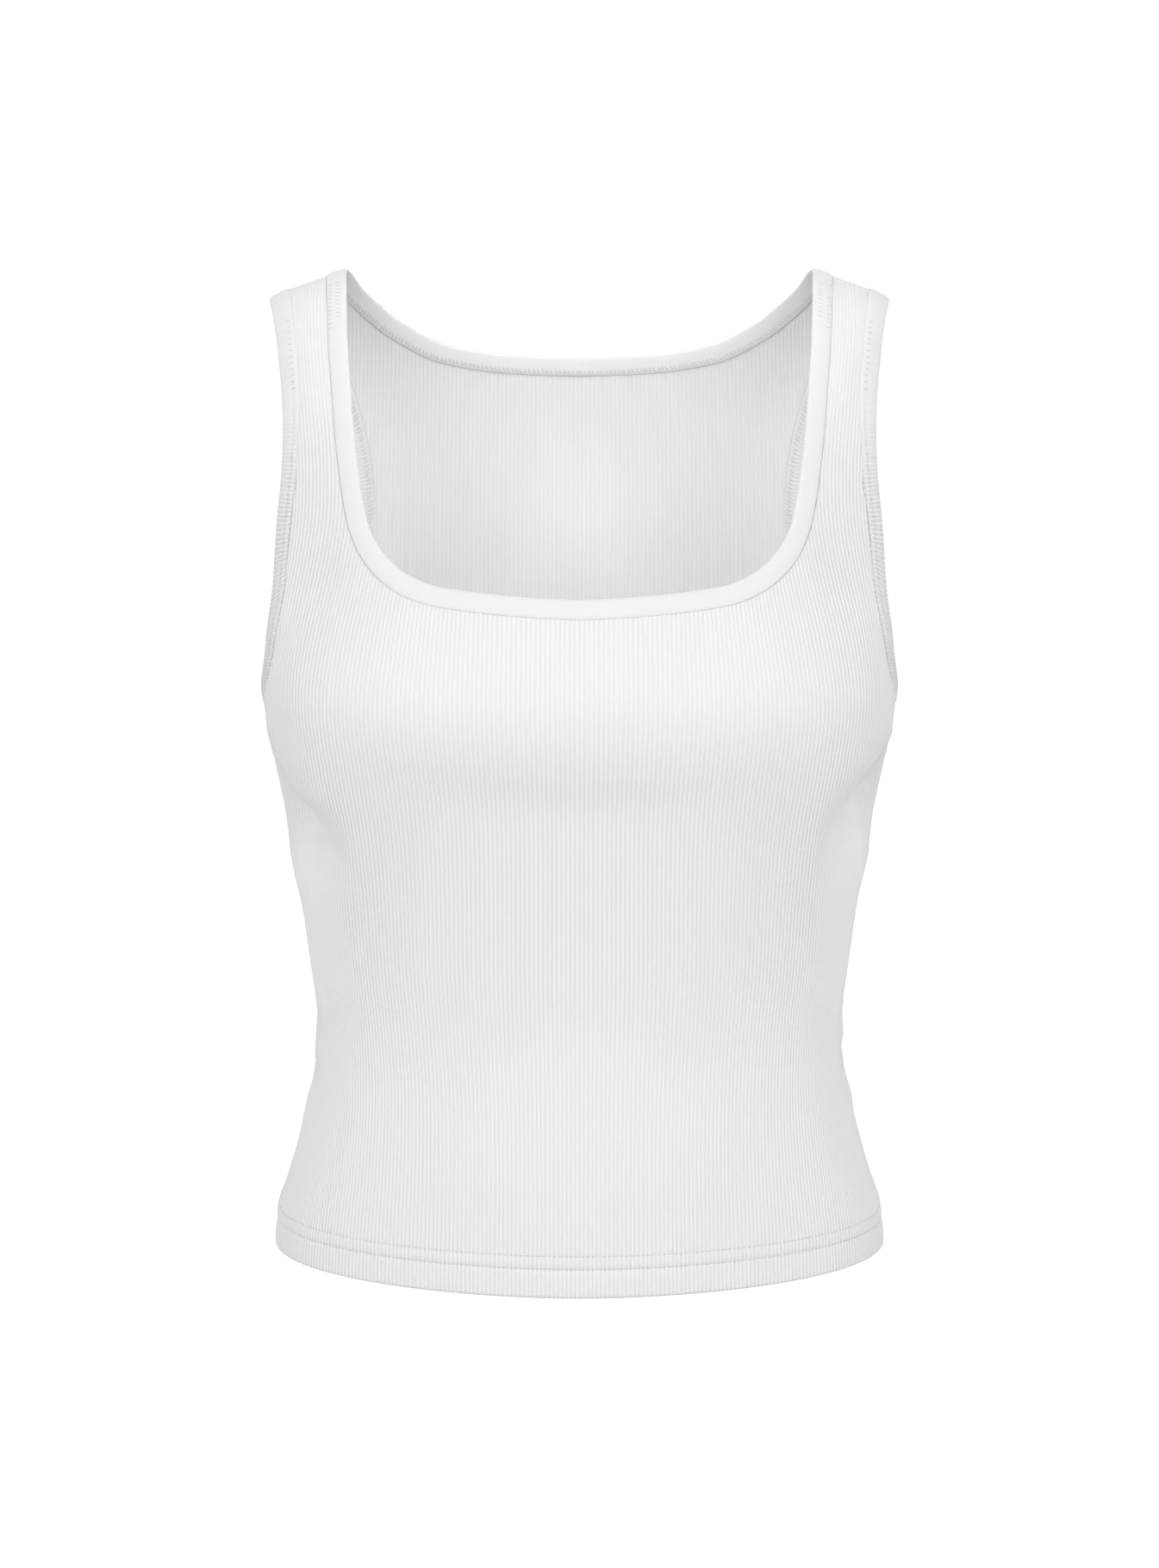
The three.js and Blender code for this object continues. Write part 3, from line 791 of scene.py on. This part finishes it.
BAND_SECTION = [
    # reach into the opening, rise over the valleys of the cloth, share of the cross ribs' rise
    (0.06, -0.9, 0.0),
    (0.08, -0.1, 0.1),
    (0.36, 0.34, 0.5),
    (1.0, 0.64, 0.9),
    (1.8, 0.8, 1.0),
    (2.6, 0.88, 1.0),
    (3.2, 0.91, 1.0),
    (3.8, 0.91, 1.0),
    (4.6, 0.88, 1.0),
    (6.4, 0.76, 1.0),
    (8.2, 0.55, 1.0),
    (9.5, 0.25, 0.8),
    (10.1, -0.15, 0.5),
    (10.25, -0.6, 0.4),
    (9.9, -1.05, 0.3),
    (8.8, -1.38, 0.25),
    (6.6, -1.6, 0.25),
    (4.4, -1.76, 0.25),
    (2.4, -1.9, 0.25),
    (1.0, -1.88, 0.2),
    (0.2, -1.55, 0.1),
]


def band_arc(ring):
    """Distances of a ring's stations along it, and its whole length."""
    step = np.linalg.norm(np.roll(ring["point"], -1, axis=0) - ring["point"], axis=1)
    return np.concatenate([[0], np.cumsum(step[:-1])]), step.sum()


def band_point(ring, reach, rise):
    far = reach + ring["spread"] * reach / BAND_WIDTH
    return ring["point"] + ring["into"] * far + ring["out"] * rise


def ring_faces(count, size):
    """The quads between count rings of size points, the last of which meets the first."""
    faces = []
    for n in range(count):
        m = (n + 1) % count
        for k in range(size):
            edge = (k + 1) % size
            faces.append([n * size + k, m * size + k, m * size + edge, n * size + edge])
    return faces


def band_piece(name, ring, rib_rise, topstitch, material):
    """A binding, as one closed strip whose section follows the cut edge."""
    for key in ("into", "out"):
        ring[key] = unit(smoothed(ring[key], BAND_SMOOTHING))
    arc, total = band_arc(ring)
    ribs = round(total / BAND_RIB)
    height = ring["height"]
    low = np.ones(len(arc)) if topstitch == 0 else ramp(height, *BAND_RIB_HEIGHTS)
    sewn = topstitch * ramp(height, *TOPSTITCH_HEIGHTS)
    slant = BAND_SLANT * ramp(height, *BAND_SLANT_HEIGHTS)
    strength = rib_rise * (BAND_RIB_LEAST + (1 - BAND_RIB_LEAST) * low)
    rows = []
    uvs = []
    for reach, rise, weight in BAND_SECTION:
        rib = arc / total * ribs + slant * reach / BAND_RIB
        wave = (rib_profile(rib * 2 / RIBS) - BAND_RIB_LEVEL) * strength * weight
        outer_face = rise > -0.5
        sink = sewn * hump(reach, TOPSTITCH_REACH, TOPSTITCH_WIDTH) * (rise > 0)
        over = rise + (wave if outer_face else -wave) - sink
        rows.append(band_point(ring, reach, over[:, None]))
        uvs.append(np.stack([rib, np.full(len(arc), reach)], axis=1))
    points = np.stack(rows, axis=1).reshape(-1, 3)
    uv = np.stack(uvs, axis=1).reshape(-1, 2)
    # Weight of the painted shade in the valleys of the cross ribs.
    valley_shade_weight = np.outer(low * rib_rise / BAND_RIB_FULL, [row[2] for row in BAND_SECTION]).ravel()
    faces = ring_faces(len(arc), len(BAND_SECTION))
    if signed_volume(points, faces) < 0:
        faces = [face[::-1] for face in faces]
    return mesh_object(name, points, faces, uv, material, valley_shade_weight)


def signed_volume(points, faces):
    quads = points[np.array(faces)]
    middle = np.cross(quads[:, 1] - quads[:, 0], quads[:, 2] - quads[:, 0])
    other = np.cross(quads[:, 2] - quads[:, 0], quads[:, 3] - quads[:, 0])
    return float(((middle + other) * quads[:, 0]).sum())


# Sewing threads

THREAD_SIDES = 6
THREAD_BEADS = [
    # share of a stitch's length, thickness there
    (0.0, 0.35),
    (0.18, 0.9),
    (0.5, 1.0),
    (0.82, 0.9),
    (1.0, 0.35),
]


def thread_mesh(stitches):
    """Short round stitches, each from its two ends, the direction out of the cloth and its radius."""
    points = []
    faces = []
    for start, end, out, radius in stitches:
        run = unit(end - start)
        side = unit(np.cross(run, out))
        first = len(points)
        for share, size in THREAD_BEADS:
            middle = start + (end - start) * share + out * radius * (4 * share * (1 - share) - 0.5)
            for k in range(THREAD_SIDES):
                turn = 2 * math.pi * k / THREAD_SIDES
                points.append(middle + radius * size * (side * math.cos(turn) + out * math.sin(turn)))
        for bead in range(len(THREAD_BEADS) - 1):
            for k in range(THREAD_SIDES):
                a = first + bead * THREAD_SIDES + k
                b = first + bead * THREAD_SIDES + (k + 1) % THREAD_SIDES
                faces.append([a, a + THREAD_SIDES, b + THREAD_SIDES, b])
        faces.append([first + k for k in range(THREAD_SIDES)])
        top = first + (len(THREAD_BEADS) - 1) * THREAD_SIDES
        faces.append([top + k for k in reversed(range(THREAD_SIDES))])
    return np.array(points), faces


def thread_piece(name, stitches, material):
    points, faces = thread_mesh(stitches)
    return mesh_object(name, points, faces, np.zeros((len(points), 2)), material)


# Stitches on the bindings, as straight threads that lie across or along the strip. A row runs from one
# distance to another along the edge, both measured from the crest of the shoulder.
NECK_ROWS = [
    # reach, across, along, pitch, start, end, sunk, inside, radius
    (2.5, 2.6, 0.3, 2.5, 26, 56, 0.06, False, 0.2),
    (6.2, 3.2, 0.7, 2.5, 26, 52, 0.06, False, 0.2),
    (2.6, 2.2, 1.2, 2.2, 14, 900, 0.04, True, 0.26),
]
ARMHOLE_ROWS = [
    # reach, across, along, pitch, start, end, sunk, inside, radius
    (2.6, 2.4, 0.4, 3.3, 36, 74, 0.06, False, 0.22),
    (TOPSTITCH_REACH, 0.0, 2.1, 2.7, 105, 900, TOPSTITCH_SUNK, False, THREAD),
    (-0.9, 0.0, 2.1, 2.7, 112, 900, 0.2, False, THREAD),
    (3.0, 2.8, 1.6, 2.3, 14, 900, 0.04, True, 0.26),
]


def face_rise(reach, inside):
    """Rise of a binding's outer or inner face at a reach into the opening, or of the panel beside it."""
    if reach < 0:
        return RIB_RISE
    face = [row for row in BAND_SECTION if (row[1] < -1) == inside]
    face.sort()
    return float(np.interp(reach, [row[0] for row in face], [row[1] for row in face]))


def band_stitches(name, ring, rows, material):
    """Rows of stitches on a binding, one stitch wherever a row's pitch has passed."""
    ends = []
    along = unit(np.roll(ring["point"], -2, axis=0) - np.roll(ring["point"], 2, axis=0))
    crest_far = ring["from_crest"][:, 0]
    for reach, across, length, pitch, start, end, sunk, inside, radius in rows:
        on = band_point(ring, reach, face_rise(reach, inside) - sunk)
        out = -ring["out"] if inside else ring["out"]
        step = np.floor(crest_far / pitch)
        new = (step != np.roll(step, 1)) & (crest_far >= start) & (crest_far <= end)
        for n in np.nonzero(new)[0]:
            half = (ring["into"][n] * across + along[n] * length) / 2
            ends.append((on[n] - half, on[n] + half, out[n], radius))
    return thread_piece(name, ends, material)


def hem_stitches(name, material):
    """The two rows of stitches round a panel's hem."""
    panel = PANELS[name]
    ends = []
    total = int(2 * QUARTER_GIRTH * HEM_STITCHED / HEM_STITCH_PITCH)
    middle = (np.arange(total) - (total - 1) / 2) * HEM_STITCH_PITCH / QUARTER_GIRTH
    half = HEM_STITCH / 2 / QUARTER_GIRTH
    for over_edge, sunk in ((STITCH_LOW, SUNK_LOW), (STITCH_HIGH, SUNK_HIGH)):
        height = np.full(total, HEM + over_edge)
        lift = RIB_RISE * STITCH_LIFT - sunk + THREAD / 2
        places = []
        for rib in (middle - half, middle + half):
            low = hung(rib, height)
            share = share_of_rib(panel, rib, low)
            out = outward(panel, share, low)
            relief = crease_relief(panel, share, low) + lift
            places.append(surface(panel, share, low) + out * relief[:, None])
        ends += [(*stitch, THREAD) for stitch in zip(places[0], places[1], out)]
    return thread_piece(f"hem_stitches_{name}", ends, material)


# Materials

KNIT_SURFACE = {
    "Roughness": 0.95,
    "Specular IOR Level": 0.25,
    "Sheen Weight": 0.12,
    "Sheen Roughness": 0.6,
}
THREAD_SURFACE = {"Roughness": 0.7}
STAGE_SURFACE = {
    "Roughness": 0.9,
    "Base Color": (0.9, 0.9, 0.9, 1),
    "Emission Color": (1, 1, 1, 1),
    "Emission Strength": 0.62,
}
KNITS = {
    # tint, height of a row of stitches, strength of the relief, tone of the painted shade in the valleys
    "rib_knit": ((0.80, 0.80, 0.795), 1.5, 0.45, 0.87),
    "binding_knit": ((0.765, 0.765, 0.763), 1.7, 0.18, 0.85),
}
STITCH_LEAN = 1.1  # how steep the two sides of a V shaped stitch are
RIB_FLANK = {"From Min": 0.04, "From Max": 0.34}  # from a valley, at 0, towards the crest, at 0.5
RIB_BACK = 1.6  # height of a rib's back in the relief, where a stitch is 0.5
RELIEF_DEPTH = 0.00012  # in metres
FUZZ = {"Scale": 900, "Detail": 4}
DRIFT = {"Scale": 22, "Detail": 3}  # of the slightly uneven tone
STITCH_TONE = 0.6  # how far a stitch's tone varies beside the drift
LOW_TONE = 0.975  # share of the tint at the darkest
THREAD_TWIST = {"Scale": 2600}
# The thread is far darker than the knit: painted shade of the holes and gaps around each stitch.
THREAD_SHADE_TONES = {"To Min": 0.54, "To Max": 0.64}


def set_sockets(node, values):
    for socket, value in values.items():
        node.inputs[socket].default_value = value
    return node


def shader(name, values):
    """A new material, its nodes, its links and its main shader with values on the sockets."""
    material = bpy.data.materials.new(name)
    material.use_nodes = True
    nodes = material.node_tree.nodes
    principled = set_sockets(nodes["Principled BSDF"], values)
    return material, nodes, material.node_tree.links, principled


def math_node(nodes, links, kind, *values):
    """The result of a sum whose values are numbers or other nodes' outputs."""
    node = nodes.new("ShaderNodeMath")
    node.operation = kind
    for socket, value in zip(node.inputs, values):
        if isinstance(value, (int, float)):
            socket.default_value = value
        else:
            links.new(value, socket)
    return node.outputs[0]


def noise(nodes, links, values):
    """Noise that is fixed to the object."""
    node = set_sockets(nodes.new("ShaderNodeTexNoise"), values)
    place = nodes.new("ShaderNodeTexCoord")
    links.new(place.outputs["Object"], node.inputs["Vector"])
    return node.outputs["Fac"]


def mix_colour(nodes, links, a, b, factor):
    """A colour between a, which may be another node's output, and the colour b."""
    node = nodes.new("ShaderNodeMix")
    node.data_type = "RGBA"
    if isinstance(a, tuple):
        node.inputs["A"].default_value = a
    else:
        links.new(a, node.inputs["A"])
    node.inputs["B"].default_value = b
    links.new(factor, node.inputs["Factor"])
    return node.outputs["Result"]


def toned(tint, share):
    return (*[channel * share for channel in tint], 1)


def stitch_pattern(nodes, links, course):
    """The place across a rib, 0 in a valley and 0.5 on its crest, and V shaped stitches from 0 to 0.5."""
    uv = nodes.new("ShaderNodeUVMap")
    uv.uv_map = "knit"
    split = nodes.new("ShaderNodeSeparateXYZ")
    links.new(uv.outputs[0], split.inputs[0])
    across = math_node(nodes, links, "PINGPONG", split.outputs[0], 0.5)
    lean = math_node(nodes, links, "MULTIPLY", across, STITCH_LEAN)
    courses = math_node(nodes, links, "DIVIDE", split.outputs[1], course)
    slanted = math_node(nodes, links, "ADD", courses, lean)
    return across, math_node(nodes, links, "PINGPONG", slanted, 0.5)


def knit_material(name):
    """White cotton knit: painted shade in the valleys, V shaped stitches in each rib, a soft fuzz, slight
    unevenness.
    """
    tint, course, bump, valley_shade_tone = KNITS[name]
    material, nodes, links, principled = shader(name, KNIT_SURFACE)
    across, stitch = stitch_pattern(nodes, links, course)
    flank = set_sockets(nodes.new("ShaderNodeMapRange"), RIB_FLANK)
    flank.interpolation_type = "SMOOTHSTEP"
    links.new(across, flank.inputs["Value"])
    back = math_node(nodes, links, "MULTIPLY", flank.outputs[0], RIB_BACK)
    grain = math_node(nodes, links, "ADD", stitch, noise(nodes, links, FUZZ))
    height = math_node(nodes, links, "ADD", grain, back)
    relief = set_sockets(nodes.new("ShaderNodeBump"), {"Distance": RELIEF_DEPTH, "Strength": bump})
    links.new(height, relief.inputs["Height"])
    links.new(relief.outputs[0], principled.inputs["Normal"])
    tone = math_node(nodes, links, "MULTIPLY_ADD", stitch, STITCH_TONE, noise(nodes, links, DRIFT))
    shade = mix_colour(nodes, links, toned(tint, LOW_TONE), toned(tint, 1), tone)
    # The valleys are darkened towards their tone by painted shade, weighted by a number stored on each
    # point.
    valley_shade_weight = nodes.new("ShaderNodeAttribute")
    valley_shade_weight.attribute_name = "valley_shade_weight"
    deep = math_node(nodes, links, "SUBTRACT", 1.0, flank.outputs[0])
    dark = math_node(nodes, links, "MULTIPLY", deep, valley_shade_weight.outputs["Fac"])
    colour = mix_colour(nodes, links, shade, toned(tint, valley_shade_tone), dark)
    links.new(colour, principled.inputs["Base Color"])
    return material


def thread_material():
    """White sewing thread, painted grey as the shade in its stitch holes, with a slightly uneven tone."""
    material, nodes, links, principled = shader("sewing_thread", THREAD_SURFACE)
    tone = set_sockets(nodes.new("ShaderNodeMapRange"), THREAD_SHADE_TONES)
    links.new(noise(nodes, links, THREAD_TWIST), tone.inputs["Value"])
    links.new(tone.outputs[0], principled.inputs["Base Color"])
    return material


# Pieces

knit = knit_material("rib_knit")
binding = knit_material("binding_knit")
thread = thread_material()


def declare(piece, node, with_pieces=()):
    """Attach a cloth piece to the root and hide the solid that it stands for."""
    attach(piece, "root")
    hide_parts(node)


def place_on(piece):
    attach(piece, "root")
    return piece


for name in ("front", "back"):
    stitches = place_on(hem_stitches(name, thread))
    declare(panel_piece(name, knit), name, [stitches])

neck = neck_ring()
neck_band = band_piece("bound_neck", neck, BAND_RIB_PLAIN, 0, binding)
neck_thread = place_on(band_stitches("neck_stitches", neck, NECK_ROWS, thread))
declare(neck_band, "neck_binding", [neck_thread])
for side, mirror in (("left", False), ("right", True)):
    armhole = armhole_ring(mirror)
    band = band_piece(f"bound_armhole_{side}", armhole, BAND_RIB_FULL, TOPSTITCH_SUNK, binding)
    stitches = band_stitches(f"armhole_stitches_{side}", armhole, ARMHOLE_ROWS, thread)
    declare(band, f"armhole_binding_{side}", [place_on(stitches)])


# Studio, in metres and watts

CAMERA_HEIGHT = -0.0565
CAMERA_AWAY = 2.0
AIM_HEIGHT = -0.2415
CAMERA_LENS = 94.6
CAMERA_SENSOR = 36
FLOOR_DROP = 1.4
ROOM = 24.0  # radius of the round white room
ROOM_HEIGHT = 16.0
ROOM_SIDES = 48
AMBIENT = 0.53
LIT_PLACE = (0, 0, -0.24)  # at which the area lights point
TOP_LIGHT = ((0, -0.6, 2.2), 1.4, 1)  # place, diameter, power
LOW_LIGHT = ((0, -2.6, -0.6), 1.3, 7)
SIDE_LIGHTS = {
    # one on each side, as place, diameter, power
    "front": ((1.0, -2.5, 0.46), 1.3, 15.2),
    "back": ((1.2, 2.4, 0.6), 1.3, 18),
    "side": ((2.2, -1.1, 0.8), 1.2, 13.5),
}
# Spots that light the back's inside through the neck: place, target, cone in degrees, power.
CORNER_SPOT = ((0.42, -0.42, 0.7), (-0.093, 0.06, -0.06), 10, 9)
INSIDE_SPOT = ((0, -0.42, 0.75), (0, 0.09, -0.115), 17, 8)
SPOT_RADIUS = 0.08
SPOT_BLEND = 0.6


def hang(light, place, target):
    """Put a light in its place and turn it to its target."""
    lamp = bpy.data.objects.new(light.name, light)
    lamp.location = place
    aim = np.array(target) - np.array(place)
    away = math.hypot(aim[0], aim[1])
    tilt = math.pi / 2 + math.atan2(aim[2], away)
    lamp.rotation_euler = (tilt, 0, math.atan2(aim[1], aim[0]) - math.pi / 2)
    bpy.context.scene.collection.objects.link(lamp)


def area_light(name, place, size, power):
    light = bpy.data.lights.new(name, "AREA")
    light.shape = "DISK"
    light.size = size
    light.energy = power
    hang(light, place, LIT_PLACE)


def spot_light(name, place, target, cone, power):
    light = bpy.data.lights.new(name, "SPOT")
    light.energy = power
    light.shadow_soft_size = SPOT_RADIUS
    light.spot_size = math.radians(cone)
    light.spot_blend = SPOT_BLEND
    hang(light, place, target)


def on_side(place, side):
    x, y, z = place
    return (side * x, y, z)


def lights():
    area_light("top", *TOP_LIGHT)
    for side in (-1, 1):
        for name, (place, size, power) in SIDE_LIGHTS.items():
            area_light(f"{name}_{side}", on_side(place, side), size, power)
        place, target, cone, power = CORNER_SPOT
        spot_light(f"corner_{side}", on_side(place, side), on_side(target, side), cone, power)
    area_light("low", *LOW_LIGHT)
    spot_light("inside", *INSIDE_SPOT)


def stage_piece(name, points, faces):
    """Floor and backdrop show white, and the lights alone light the cloth."""
    material = shader(name, STAGE_SURFACE)[0]
    piece = mesh_object(name, np.array(points) / MM, faces, [(0, 0)] * len(points), material)
    piece.visible_diffuse = False
    piece.visible_glossy = False
    piece.visible_shadow = False


def room():
    """A round floor and wall, far off, in the white of a lit studio, and an even light from all sides."""
    turns = [2 * math.pi * k / ROOM_SIDES for k in range(ROOM_SIDES)]
    ring = [(ROOM * math.cos(turn), ROOM * math.sin(turn)) for turn in turns]
    floor = [(x, y, -FLOOR_DROP) for x, y in ring]
    top = [(x, y, ROOM_HEIGHT) for x, y in ring]
    walls = []
    for k in range(ROOM_SIDES):
        after = (k + 1) % ROOM_SIDES
        walls.append([k, after, after + ROOM_SIDES, k + ROOM_SIDES])
    stage_piece("studio_floor", floor, [list(range(ROOM_SIDES))])
    stage_piece("studio_wall", floor + top, walls)
    world = bpy.data.worlds.new("studio")
    world.use_nodes = True
    set_sockets(world.node_tree.nodes["Background"], {"Color": (1, 1, 1, 1), "Strength": AMBIENT})
    bpy.context.scene.world = world


def camera():
    data = bpy.data.cameras.new("camera")
    data.lens = CAMERA_LENS
    data.sensor_width = CAMERA_SENSOR
    view = bpy.data.objects.new("camera", data)
    view.location = (0, -CAMERA_AWAY, CAMERA_HEIGHT)
    pitch = math.atan2(CAMERA_HEIGHT - AIM_HEIGHT, CAMERA_AWAY)
    view.rotation_euler = (math.pi / 2 - pitch, 0, 0)
    bpy.context.scene.collection.objects.link(view)
    bpy.context.scene.camera = view


room()
lights()
camera()
bpy.context.scene.view_settings.view_transform = "Standard"
